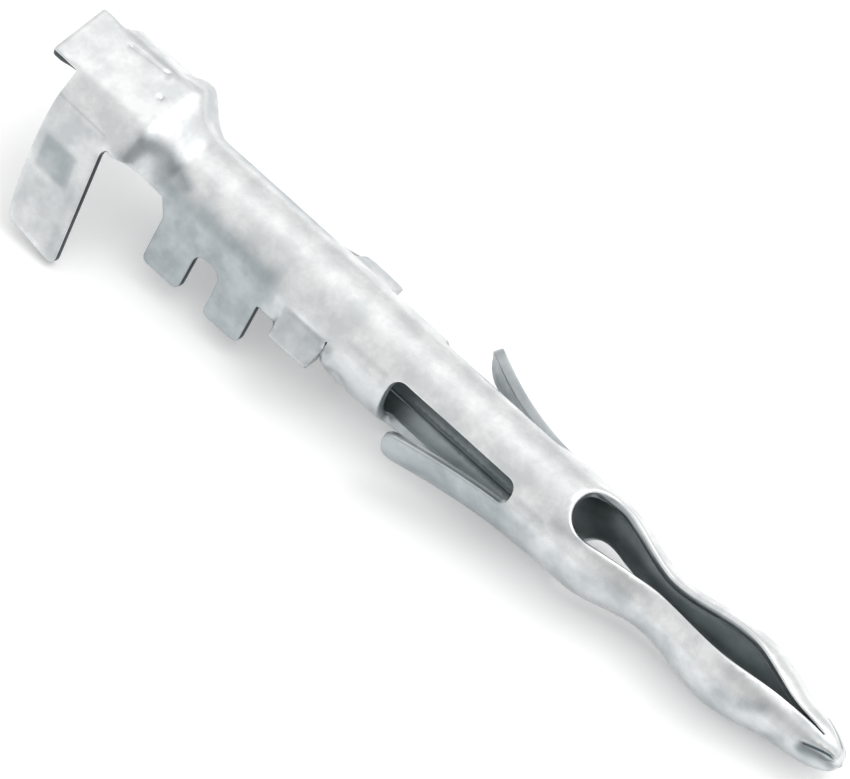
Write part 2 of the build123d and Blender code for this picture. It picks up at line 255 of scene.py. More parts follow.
@dataclass(frozen=True)
class Sizes:
    """The strip's sizes: those of the solid, some fitted closer to the real contact.

    Nearly all of the folded strip lies within 0.1 mm of the solid.  The nose and the far lance
    are up to 0.25 mm off.
    """

    sheet: float = 0.25
    tube_radius: float = 1.215
    total_length: float = 25.08
    tab_length: float = 0.77
    tab_width: float = 1.72
    tab_corner: float = 0.08
    floor_height: float = 1.76
    floor_half_width: float = 0.62
    floor_bend_radius: float = 0.55
    wall_flare: float = 42.0
    wall_length: float = 0.60
    wing_flare: float = 31.0
    wing_length: float = 3.41
    wing_tip_slope: float = 0.21
    wing_width: float = 1.59
    wing_leans: tuple[float, float] = (0.57, -0.20)
    wing_bow: float = 0.12
    wing_corner: float = 0.20
    neck_start: float = 2.36
    neck_front: float = 4.06
    shoulder_x: float = 2.82
    shoulder_swell: float = 0.27
    swell_out: tuple[float, float] = (0.40, 0.55)
    swell_up: float = 0.20
    rounding_start: float = 3.00
    swell_end: float = 3.60
    notch_radius: float = 0.30
    notch_drop: float = 0.13
    notch_runs: tuple[float, float] = (0.31, 0.78)
    barrel_angle: float = 68.0
    barrel_shares: tuple[float, float] = (0.32, 0.64)
    barrel_wall: float = 0.53
    neck_wall: float = 0.43
    neck_wall_gap: float = 0.03
    neck_wall_corner: float = 0.10
    barrel_wing_length: float = 1.76
    barrel_wing_1: tuple[float, float] = (4.35, 5.50)
    barrel_wing_2: tuple[float, float] = (6.30, 7.43)
    barrel_wing_corner: float = 0.17
    notch_corners: tuple[float, float] = (0.28, 0.34)
    barrel_front: float = 8.02
    ear_angle: float = 65.0
    ear_flare: float = 46.0
    ear_length: float = 0.81
    ear_slit: float = 0.07
    ear_start: float = 7.98
    ear_front: float = 9.38
    ear_slant: float = 0.17
    ear_corners: tuple[float, float] = (0.45, 0.13)         # far and near side
    tube_start: float = 9.40
    rim_slant: tuple[float, float] = (100.0, 121.8)
    rim_foot: float = 10.02
    rim_corners: tuple[float, float] = (0.10, 0.30)
    seam_gap: float = 0.07
    window: tuple[float, float] = (11.25, 15.20)
    window_half_angle: float = 50.0
    window_corner: float = 0.30
    window_foot_corner: float = 0.22
    near_lance: Lance = Lance(11.95, 17.00, 0.73, 0.02, 2.0)
    far_lance: Lance = Lance(12.06, 15.45, 0.97, 0.0, 1.9)
    lance_half_angle: float = 23.0
    lance_slant: float = 0.12
    lance_corners: tuple[float, float] = (0.25, 0.42)
    shoulder_start: float = 17.15
    waist: tuple[float, float] = (19.35, 0.79)
    bulge: tuple[float, float] = (21.45, 1.065)
    nose_neck: tuple[float, float] = (23.40, 0.70)
    nose_mid: tuple[float, float] = (24.75, 0.415)
    nose_slope: float = 0.16
    nose_mid_way: tuple[float, float] = (0.88, -0.47)
    keyhole_start: float = 16.46
    keyhole_radius: float = 0.73
    keyhole_fullness: float = 2.3
    slot_shoulder: tuple[float, float] = (17.85, 0.60)
    slot_taper: tuple[float, float] = (18.45, 0.43)
    slot_waist: float = 0.26
    slot_bulge: float = 0.46
    slot_nose: tuple[float, float] = (23.20, 0.11)
    slot_end: tuple[float, float] = (24.40, 0.02)
    seam_slot_extra: float = 0.07

    @property
    def half_turn(self) -> float:
        """Across coordinate of the seam."""
        return self.turned(180)

    @property
    def crease(self) -> float:
        """Across coordinate where the flaps of both barrels begin."""
        return self.turned(self.barrel_angle)

    @property
    def ear_crease(self) -> float:
        """Across coordinate where the ears begin."""
        return self.turned(self.ear_angle)

    def turned(self, angle: float) -> float:
        """Across coordinate of an angle round the tube, from its top."""
        return math.radians(angle) * self.tube_radius


class PinProfile:
    """Outer radius of the tube and pin, and half width of the slot, along the strip."""

    samples = 60

    def __init__(self, sizes: Sizes) -> None:
        """Work out both profiles from the sizes."""
        self.sizes = sizes
        level, falling = (1.0, 0.0), (1.0, -sizes.nose_slope)
        stations = [
            ((sizes.shoulder_start, sizes.tube_radius), level), (sizes.waist, level), (sizes.bulge, level),
            (sizes.nose_neck, falling), (sizes.nose_mid, sizes.nose_mid_way),
            ((sizes.total_length, 0.0), (0.0, -1.0)),
        ]
        self.outline = np.vstack([self.curve(*a, *b) for a, b in zip(stations, stations[1:])])
        keyhole_x = sizes.keyhole_start + sizes.keyhole_radius
        slot = [
            (keyhole_x, sizes.keyhole_radius), sizes.slot_shoulder, sizes.slot_taper,
            (sizes.waist[0], sizes.slot_waist), (sizes.bulge[0], sizes.slot_bulge),
            sizes.slot_nose, sizes.slot_end,
        ]
        self.slot = self.flowing(slot)

    def curve(self, start: tuple, start_way: tuple, end: tuple, end_way: tuple) -> np.ndarray:
        """Points of the smooth curve between two stations that leaves and arrives on given ways."""
        a, b = np.array(start), np.array(end)
        chord = np.linalg.norm(b - a)
        ways = [np.array(w) / np.linalg.norm(w) * chord for w in (start_way, end_way)]
        t = np.linspace(0, 1, self.samples)[:, None]
        return ((2 * t ** 3 - 3 * t ** 2 + 1) * a + (t ** 3 - 2 * t ** 2 + t) * ways[0]
                + (3 * t ** 2 - 2 * t ** 3) * b + (t ** 3 - t ** 2) * ways[1])

    def flowing(self, stations: list[tuple[float, float]]) -> np.ndarray:
        """Points of a curve through stations, level at both ends."""
        places = np.array(stations)
        ways = np.gradient(places, axis=0)
        ways[0] = ways[-1] = (1.0, 0.0)
        return np.vstack([self.curve(places[i], ways[i], places[i + 1], ways[i + 1])
                          for i in range(len(places) - 1)])

    def radius(self, along: np.ndarray) -> np.ndarray:
        """Outer radius at places along the strip."""
        return np.interp(along, self.outline[:, 0], self.outline[:, 1])

    def nose_places(self, step: float) -> np.ndarray:
        """Places from the nose's neck to its end, evenly spaced along the outline."""
        part = self.outline[self.outline[:, 0] >= self.sizes.nose_neck[0]]
        way = np.concatenate([[0], np.cumsum(np.linalg.norm(np.diff(part, axis=0), axis=1))])
        count = math.ceil(way[-1] / step)
        return np.interp(np.linspace(0, way[-1], count + 1), way, part[:, 0])

    def slot_half_width(self, along: np.ndarray, extra: float) -> np.ndarray:
        """Half width of the slot, with its nearly round rear end, at places along it."""
        sizes = self.sizes
        centre, power = sizes.keyhole_start + sizes.keyhole_radius, sizes.keyhole_fullness
        reach = np.clip((centre - along) / sizes.keyhole_radius, 0, 1)
        rear = (1 - reach ** power) ** (1 / power)
        fade = 1 - smooth(along, sizes.bulge[0], sizes.slot_end[0])
        front = np.interp(along, self.slot[:, 0], self.slot[:, 1]) + extra * fade
        return np.where(along < centre, rear * (sizes.keyhole_radius + extra), front)


@dataclass
class FlatStrip:
    """The strip cut out flat: its cut edges, and a fine even mesh between them.

    The first coordinate runs along the strip.  The second runs across it, and is the true
    width where the strip is rolled into a tube.
    """

    sizes: Sizes
    step: float = 0.105
    edge_pace: float = 0.8              # spacing along cut edges, as a share of the step
    nose_pace: float = 0.6
    edge_radius: float = 0.035
    slot_edge_radius: float = 0.065      # forming rolls the slot's edges over
    edge_rings: tuple[float, ...] = (1.0, 0.293, 0.0)
    sheared_corner: float = 0.05
    tab_roots: tuple[float, float] = (0.22, 0.04)       # far and near side
    mark_row_count: int = 5
    marks: tuple[PressMark, ...] = ()
    least_area: float = 1e-6            # thinner triangles are slivers along a straight edge
    rows_to_crease: int = 15
    keyhole_points: int = 13
    straight_bend: float = 0.002        # squared sine of a bend that counts as none
    grid_gap: float = 0.62              # gap from edges to the inner points, as a share of the step
    same_place: float = 1e-5

    def __post_init__(self) -> None:
        """Work out the pin's profile and the spacing across."""
        self.profile = PinProfile(self.sizes)
        self.rows = self.sizes.crease / self.rows_to_crease

    def slot_edge(self, side: SlotSide) -> np.ndarray:
        """One edge of a slot between the prongs, from its rear end forward.

        Args:
            side: which of the two slots.

        Returns:
            Points on the side of positive across coordinates.
        """
        sizes = self.sizes
        seam = side is SlotSide.SEAM
        extra = sizes.seam_slot_extra if seam else 0.0
        centre = sizes.keyhole_start + sizes.keyhole_radius
        lowest = sizes.seam_gap / 2 if seam else 0.0
        first_turn = math.asin(lowest / (sizes.keyhole_radius + extra))
        turns = np.linspace(first_turn, math.pi / 2, self.keyhole_points)
        rear = centre - sizes.keyhole_radius * np.cos(turns)
        count = math.ceil((sizes.slot_end[0] - centre) / self.step)
        along = np.concatenate([rear[:-1], np.linspace(centre, sizes.slot_end[0], count + 1)])
        half = self.profile.slot_half_width(along, extra)
        half[0] = lowest
        angle = np.arcsin(np.clip(half / self.profile.radius(along), 0, 1))
        across = (math.pi - angle if seam else angle) * sizes.tube_radius
        return np.column_stack([along, across])

    def free_edge(self, tab_root: float, ear_corner: float) -> np.ndarray:
        """Half of the strip's outer edge, from the wire end to the end of the seam's slot.

        Args:
            tab_root: radius of the corner between the tab and the insulation barrel.
            ear_corner: radius of the ear's rear corner.

        Returns:
            Points on the side of positive across coordinates.
        """
        s = self.sizes
        shares = s.barrel_shares
        bend = math.radians(90 - s.wall_flare) * s.floor_bend_radius
        over_bend = (s.tab_width / 2 - s.floor_half_width) / bend
        tab = (shares[0] + (shares[1] - shares[0]) * over_bend) * s.crease
        wall, tips = s.crease + s.barrel_wall, s.crease + s.barrel_wing_length
        ear_tip = s.ear_crease + s.ear_length
        wing_front = s.tab_length + s.wing_width
        corners = [
            Corner(0, 0), Corner(0, tab, s.tab_corner), Corner(s.tab_length, tab, tab_root),
            Corner(s.tab_length, s.crease + s.wing_length - s.wing_tip_slope, s.wing_corner),
            Corner(wing_front, s.crease + s.wing_length, s.wing_corner),
            Corner(wing_front, s.crease + s.notch_drop, s.notch_radius),
            Corner(wing_front + s.notch_runs[0], s.crease + s.notch_drop),
            Corner(wing_front + s.notch_runs[1], s.crease), Corner(s.neck_front, s.crease),
            Corner(s.barrel_wing_1[0] - s.neck_wall_gap, s.crease + s.neck_wall,
                   s.neck_wall_corner),
            Corner(s.barrel_wing_1[0], tips, s.barrel_wing_corner),
            Corner(s.barrel_wing_1[1], tips, s.barrel_wing_corner),
            Corner(s.barrel_wing_1[1], wall, s.notch_corners[0]),
            Corner(s.barrel_wing_2[0], wall, s.notch_corners[1]),
            Corner(s.barrel_wing_2[0], tips, s.barrel_wing_corner),
            Corner(s.barrel_wing_2[1], tips, s.barrel_wing_corner),
            Corner(s.barrel_wing_2[1], wall, self.sheared_corner),
            Corner(s.barrel_front + s.ear_slit, wall, self.sheared_corner),
            Corner(s.ear_start + s.ear_slant, ear_tip, ear_corner),
            Corner(s.ear_front, ear_tip, s.ear_corners[1]), Corner(s.ear_front, s.ear_crease),
            Corner(s.tube_start, s.ear_crease),
            Corner(s.tube_start, s.turned(s.rim_slant[0]), s.rim_corners[0]),
            Corner(s.rim_foot, s.turned(s.rim_slant[1]), s.rim_corners[1]),
            Corner(s.rim_foot, s.half_turn - s.seam_gap / 2, self.sheared_corner),
        ]
        slot = self.slot_edge(SlotSide.SEAM)
        corners.append(Corner(*slot[0]))
        return np.vstack([trace(corners, self.step * self.edge_pace), slot[1:]])

    def closed_nose(self) -> np.ndarray:
        """Points where the two halves of the nose meet, past the slot on the seam's side."""
        s = self.sizes
        nose = self.profile.nose_places(self.step * self.nose_pace)
        nose = nose[nose > s.slot_end[0] + self.step / 2]
        closed = np.column_stack([nose, np.full(len(nose), s.half_turn)])
        return np.vstack([[(s.slot_end[0], s.half_turn)], closed])

    def window_loop(self, lance: Lance) -> np.ndarray:
        """The cut round one window and its lance, on the side of positive across coordinates."""
        s = self.sizes
        middle = s.half_turn / 2
        reach, half = s.turned(s.window_half_angle), s.turned(s.lance_half_angle)
        rear, front = s.window
        upper, lower = s.lance_corners
        foot = s.window_foot_corner
        return trace([
            Corner(rear, middle), Corner(rear, middle - reach, s.window_corner),
            Corner(front, middle - reach, s.window_corner), Corner(front, middle - half, foot),
            Corner(lance.tip, middle - half, upper), Corner(lance.tip + s.lance_slant, middle + half, lower),
            Corner(front, middle + half, foot), Corner(front, middle + reach, s.window_corner),
            Corner(rear, middle + reach, s.window_corner), Corner(rear, middle)],
            self.step * self.edge_pace)[:-1]

    def cut_loops(self) -> list[Loop]:
        """The outer edge, the slot in the back and the windows round their lances."""
        s = self.sizes
        far, near = (self.free_edge(*radii) for radii in zip(self.tab_roots, s.ear_corners))
        closed = self.closed_nose()
        nose_count = math.ceil(2 * s.half_turn / self.rows)
        pole = np.column_stack([
            np.full(nose_count - 1, s.total_length),
            np.linspace(s.half_turn, -s.half_turn, nose_count + 1)[1:-1]])
        mirror = np.array((1, -1))
        outer = np.vstack([far, closed, pole, (closed * mirror)[::-1], (near * mirror)[:0:-1]])
        rounded = np.ones(len(outer))
        rounded[len(far):len(far) + 2 * len(closed) + len(pole) - 1] = 0
        side = self.slot_edge(SlotSide.BACK)
        top = np.vstack([side, (side * mirror)[:0:-1]])
        windows = [self.window_loop(s.far_lance), self.window_loop(s.near_lance) * mirror]
        loops = [Loop(outer, rounded, self.edge_radius), Loop(top, np.ones(len(top)), self.slot_edge_radius)]
        return loops + [Loop(window, np.ones(len(window)), self.edge_radius) for window in windows]

    def stretch(self, along: np.ndarray) -> np.ndarray:
        """True width of one unit of the across coordinate, at places along the strip."""
        s = self.sizes
        floor = s.floor_half_width / (s.barrel_shares[0] * s.crease)
        return np.where(along < s.neck_start, floor, self.profile.radius(along) / s.tube_radius)

    def true_widths(self, places: np.ndarray) -> np.ndarray:
        """Places with their across coordinates as true widths."""
        return np.column_stack([places[:, 0], places[:, 1] * self.stretch(places[:, 0])])

    def mark_rows(self, mark: PressMark) -> np.ndarray:
        """Rows of points along a narrow mark, from one side of it to the other."""
        ends = self.true_widths(np.array((mark.start, mark.end)))
        way = ends[1] - ends[0]
        length = np.linalg.norm(way)
        side = np.array((-way[1], way[0])) / length * mark.width / 2
        count = max(2, math.ceil(length / (self.step / 2)))
        shares = np.linspace(0, 1, count + 1)[None, :, None]
        offsets = np.linspace(-1, 1, self.mark_row_count)[:, None, None]
        rows = ends[0] + way * shares + side * offsets
        rows[..., 1] /= self.stretch(rows[..., 0])
        return rows

    def marked(self, places: np.ndarray) -> tuple[np.ndarray, np.ndarray]:
        """How deep the marks are at each place, as smooth-sided valleys, and how dark they are painted as
        shade.
        """
        depth, painted_darkness = np.zeros(len(places)), np.zeros(len(places))
        true = self.true_widths(places)
        for mark in self.marks:
            away = distance_to(true, *self.true_widths(np.array((mark.start, mark.end))))
            share = 1 - smooth(away, 0, mark.width / 2)
            depth += mark.depth * share
            painted_darkness = np.maximum(painted_darkness, mark.painted_darkness * share)
        return depth, painted_darkness

    @staticmethod
    def area(points: np.ndarray) -> float:
        """Signed area inside a loop."""
        ahead = np.roll(points, -1, axis=0)
        return float(np.sum(points[:, 0] * ahead[:, 1] - points[:, 1] * ahead[:, 0]) / 2)

    def ring(self, loop: Loop, inset: float, solid_inside: bool) -> np.ndarray:
        """A loop moved into the sheet, but not where its stretches aren't cut edges.

        Args:
            loop: the cut edge.  rounded[i] belongs to the stretch from point i to point i + 1.
            inset: how far it moves.
            solid_inside: whether the sheet lies inside the loop.

        Returns:
            The moved points.
        """
        way = np.roll(loop.points, -1, axis=0) - loop.points
        way /= np.linalg.norm(way, axis=1)[:, None]
        sign = 1.0 if (self.area(loop.points) > 0) == solid_inside else -1.0
        normal = np.column_stack([-way[:, 1], way[:, 0]]) * sign
        before, before_rounded = np.roll(normal, 1, axis=0), np.roll(loop.rounded, 1)
        dot = np.sum(before * normal, axis=1)
        first, second = before_rounded * inset, loop.rounded * inset
        spread = 1 - dot ** 2
        straight = spread < self.straight_bend
        spread = np.where(straight, 1, spread)
        a = np.where(straight, (first + second) / 4, (first - second * dot) / spread)
        b = np.where(straight, (first + second) / 4, (second - first * dot) / spread)
        return loop.points + before * a[:, None] + normal * b[:, None]

    @staticmethod
    def inside(points: np.ndarray, loop: np.ndarray) -> np.ndarray:
        """Which points lie inside a loop."""
        x, y = points[:, 0], points[:, 1]
        found = np.zeros(len(points), bool)
        for (x0, y0), (x1, y1) in zip(loop, np.roll(loop, -1, axis=0)):
            if y0 != y1:
                found ^= ((y0 > y) != (y1 > y)) & (x < (x1 - x0) * (y - y0) / (y1 - y0) + x0)
        return found

    def sheet_only(self, points: np.ndarray, loops: list[np.ndarray]) -> np.ndarray:
        """Which points lie in the sheet, inside the first loop and outside the others."""
        kept = self.inside(points, loops[0])
        for hole in loops[1:]:
            kept &= ~self.inside(points, hole)
        return kept

    def clear_of(self, points: np.ndarray, others: np.ndarray, gap: float) -> np.ndarray:
        """Which points are further than a gap from all the others."""
        cells: dict[tuple[int, int], list[np.ndarray]] = {}
        for other in others:
            cells.setdefault(tuple((other // gap).astype(int)), []).append(other)
        near = [(i, j) for i in (-1, 0, 1) for j in (-1, 0, 1)]
        kept = np.ones(len(points), bool)
        for index, point in enumerate(points):
            i, j = (point // gap).astype(int)
            around = [o for di, dj in near for o in cells.get((i + di, j + dj), ())]
            if around and np.min(np.linalg.norm(np.array(around) - point, axis=1)) < gap:
                kept[index] = False
        return kept

    def grid(self) -> np.ndarray:
        """Evenly spaced places over the strip's whole reach."""
        s = self.sizes
        nose = self.profile.nose_places(self.step * self.nose_pace)[:-1]
        columns = np.concatenate([np.arange(self.step, s.nose_neck[0], self.step), nose])
        reach = math.ceil((s.crease + s.wing_length) / self.rows)
        rows = np.arange(-reach, reach + 1) * self.rows
        places = [np.column_stack([np.full(len(rows), x), rows + (i % 2) * self.rows / 2])
                  for i, x in enumerate(columns)]
        return np.vstack(places)

    def mesh(self) -> tuple[np.ndarray, list, np.ndarray]:
        """Fill the strip between its cut edges.

        Returns:
            The points, the triangles, and how far each point is rounded over.
        """
        loops = self.cut_loops()
        points, edges = [], []
        count = 0
        for number, loop in enumerate(loops):
            for share in self.edge_rings:
                ring = self.ring(loop, share * loop.radius, number == 0)
                points.append(ring)
                size = len(ring)
                edges += [(count + i, count + (i + 1) % size) for i in range(size)]
                count += size
        for mark in self.marks:
            if mark.width > self.step * 2 or not mark.depth:
                continue
            for number, row in enumerate(self.mark_rows(mark)):
                points.append(row)
                if number == self.mark_row_count // 2:
                    edges += [(count + i, count + i + 1) for i in range(len(row) - 1)]
                count += len(row)
        fixed = np.vstack(points)
        grid = self.grid()
        grid = grid[self.sheet_only(grid, [loop.points for loop in loops])]
        grid = grid[self.clear_of(grid, fixed, self.step * self.grid_gap)]
        every = np.vstack([fixed, grid])
        result = delaunay_2d_cdt([Vector(p) for p in every], edges, [], 0, self.same_place)
        places = np.array(result[0])
        triangles = np.array(result[2])
        first, second, third = places[triangles].transpose(1, 0, 2)
        size = np.abs(np.cross(second - first, third - first))
        kept = (size > self.least_area) & self.sheet_only((first + second + third) / 3,
                                                          [loop.points for loop in loops])
        return places, triangles[kept], self.rounding(places, loops)

    def rounding(self, places: np.ndarray, loops: list[Loop]) -> np.ndarray:
        """How far each place drops at the rounded cut edges, in millimetres."""
        drop = np.zeros(len(places))
        for loop in loops:
            ahead = np.roll(loop.points, -1, axis=0)
            for start, end, cut in zip(loop.points, ahead, loop.rounded):
                if not cut:
                    continue
                near = np.abs(places[:, 0] - start[0]) < self.step + 2 * loop.radius
                share = np.clip(1 - distance_to(places[near], start, end) / loop.radius, 0, 1)
                drop[near] = np.maximum(drop[near], loop.radius * (1 - np.sqrt(1 - share ** 2)))
        return drop


@dataclass
class FoldPlan:
    """Where each place of the flat strip goes when it is folded, as numbers the tree reads."""

    strip: FlatStrip
    tab_blend: tuple[float, float] = (0.25, 0.72)
    ear_blend: tuple[float, float] = (7.95, 8.20)
    root_fade: tuple[float, float] = (25.0, 50.0)       # degrees from a lance's middle
    ear_step: tuple[float, float] = (7.84, 8.04)        # the wall steps out behind the ears
    ear_step_fade: tuple[float, float] = (8.5, 9.5)
    ear_step_height: float = 0.022
    least_bore: float = 0.8
    open_shift: float = 0.1             # a lance is clear of the tube's wall past this shift
    cut_face_shade_span: tuple[float, float] = (9.2, 9.6)       # cut faces get painted shade up to the tube
    # painted shade on the flanks and lances, by angle from the top and along the strip
    barrel_shade: tuple[float, float] = (28.0, 55.0)      # degrees from the top
    barrel_shade_end: tuple[float, float] = (7.3, 7.9)
    tube_shade: tuple[float, float] = (48.0, 75.0)
    lance_shade_end: tuple[float, float] = (14.8, 16.6)
    wing_shade: float = 0.25
    pin_shade: float = 0.55
    far_shade: float = 0.95
    patch_along: tuple[float, float] = (0.92, 1.98)     # a patch painted darker on the near insulation wing
    patch_across: tuple[float, float] = (0.78, 1.74)
    patch_edge: float = 0.13
    patch_darkening: float = 0.60
    crease_fade: float = 0.05

    def __post_init__(self) -> None:
        """Take the strip's sizes and profiles."""
        self.sizes = self.strip.sizes
        self.profile = self.strip.profile

    def lean(self, places: np.ndarray) -> np.ndarray:
        """Move the insulation wings' tips along the strip, with their edges bowed.

        Args:
            places: points of the flat strip.

        Returns:
            The points with the wings leaning.
        """
        s = self.sizes
        x, across = places[:, 0], np.abs(places[:, 1])
        wing = (x < s.neck_start + s.notch_radius) & (across > s.crease + s.notch_drop)
        tip = s.wing_length - s.wing_tip_slope * (1 - (x - s.tab_length) / s.wing_width)
        share = np.clip((across - s.crease) / tip, 0, 1)
        near = places[:, 1] < 0
        shift = np.where(near, s.wing_leans[0], s.wing_leans[1]) * share
        rear = 1 - np.clip((x - s.tab_length) / s.wing_width, 0, 1)
        shift -= np.where(near, s.wing_bow, 0) * 4 * share * (1 - share) * rear
        return np.column_stack([x + np.where(wing, shift, 0), places[:, 1]])

    def attributes(self, places: np.ndarray) -> dict[str, np.ndarray]:
        """Numbers of the fold at each place.

        Args:
            places: points of the flat strip, before the wings lean.

        Returns:
            Arrays by attribute name, angles in radians.
        """
        s = self.sizes
        x, across = places[:, 0], np.abs(places[:, 1])
        radius = self.profile.radius(x)
        roundness, ear = smooth(x, s.rounding_start, s.neck_front), smooth(x, *self.ear_blend)
        barrel_flare = 90 - s.barrel_angle
        flare = s.wing_flare + (barrel_flare - s.wing_flare) * roundness + (s.ear_flare - barrel_flare) * ear
        root = np.where(x > s.ear_front, 180.0, s.barrel_angle + (s.ear_angle - s.barrel_angle) * ear)
        swell = band(x, (s.neck_start, s.shoulder_x), (s.rounding_start, s.swell_end))
        step = band(x, self.ear_step, self.ear_step_fade) * smooth(across, s.ear_crease / 4, s.ear_crease / 2)
        shift = np.where(places[:, 1] > 0, self.lance_shift(x, across, s.far_lance),
                         self.lance_shift(x, across, s.near_lance))
        pressed, painted_shade = self.strip.marked(places)
        return {
            "radius": radius,
            "roundness": roundness,
            "swell": swell * s.shoulder_swell,
            "level": 1 - smooth(x, *self.tab_blend),
            "root": np.radians(root),
            "flare": np.radians(flare),
            "lance_shift": shift,
            "pressed": pressed - step * self.ear_step_height,
            "painted_shade": painted_shade,
            "shaded_cut_face": 1 - smooth(x, *self.cut_face_shade_span),
            "wall": np.minimum(s.sheet, self.least_bore * radius),
            "shade_share": self.shade_share(places),
            "enclosed": (x > s.tube_start) & (shift < self.open_shift),
        }

    def shade_share(self, places: np.ndarray) -> np.ndarray:
        """How much painted shade each place gets, from 0 to 1.

        Args:
            places: points of the flat strip.

        Returns:
            The share, greatest on the near side's flanks and on its lance, with a patch painted darker on the
            near wing.
        """
        s = self.sizes
        x, across = places[:, 0], np.abs(places[:, 1])
        angle = np.degrees(across / s.tube_radius)
        near = places[:, 1] < 0
        barrel = band(x, (s.rounding_start, s.barrel_wing_1[0]), self.barrel_shade_end)
        wing = 1 - smooth(x, s.neck_start, s.rounding_start)
        wing = wing * smooth(across, s.crease - self.crease_fade, s.crease + self.crease_fade)
        lance = (x > s.window[0]) * (1 - smooth(x, *self.lance_shade_end))
        pin = smooth(x, *self.barrel_shade_end) * (1 - lance) * self.pin_shade
        darkening = (barrel * smooth(angle, *self.barrel_shade) + wing * self.wing_shade
               + (lance + pin) * smooth(angle, *self.tube_shade))
        soft = self.patch_edge
        patch = 1.0
        for place, (low, high) in ((x, self.patch_along), (across - s.crease, self.patch_across)):
            patch = patch * band(place, (low, low + soft), (high - soft, high))
        return np.where(near, darkening + patch * self.patch_darkening, darkening * self.far_shade)

    def lance_shift(self, x: np.ndarray, across: np.ndarray, lance: Lance) -> np.ndarray:
        """How far each place is bent outwards with its lance.

        Args:
            x: places along the strip.
            across: distances from the middle.
            lance: the lance of that side.

        Returns:
            The shift, which fades in the wall round the lance's root.
        """
        s = self.sizes
        way = np.clip((lance.root - x) / (lance.root - s.near_lance.tip), 0, None)
        rise = lance.spread * way ** lance.power - lance.sink
        rise = (rise + np.sqrt(rise ** 2 + (lance.sink / 2) ** 2)) / 2       # never below the wall
        from_middle = np.abs(np.degrees(across / s.tube_radius) - 90)
        held = (x > s.window[0] + s.window_corner) & (x < lance.root)
        return rise * held * (1 - smooth(from_middle, *self.root_fade))


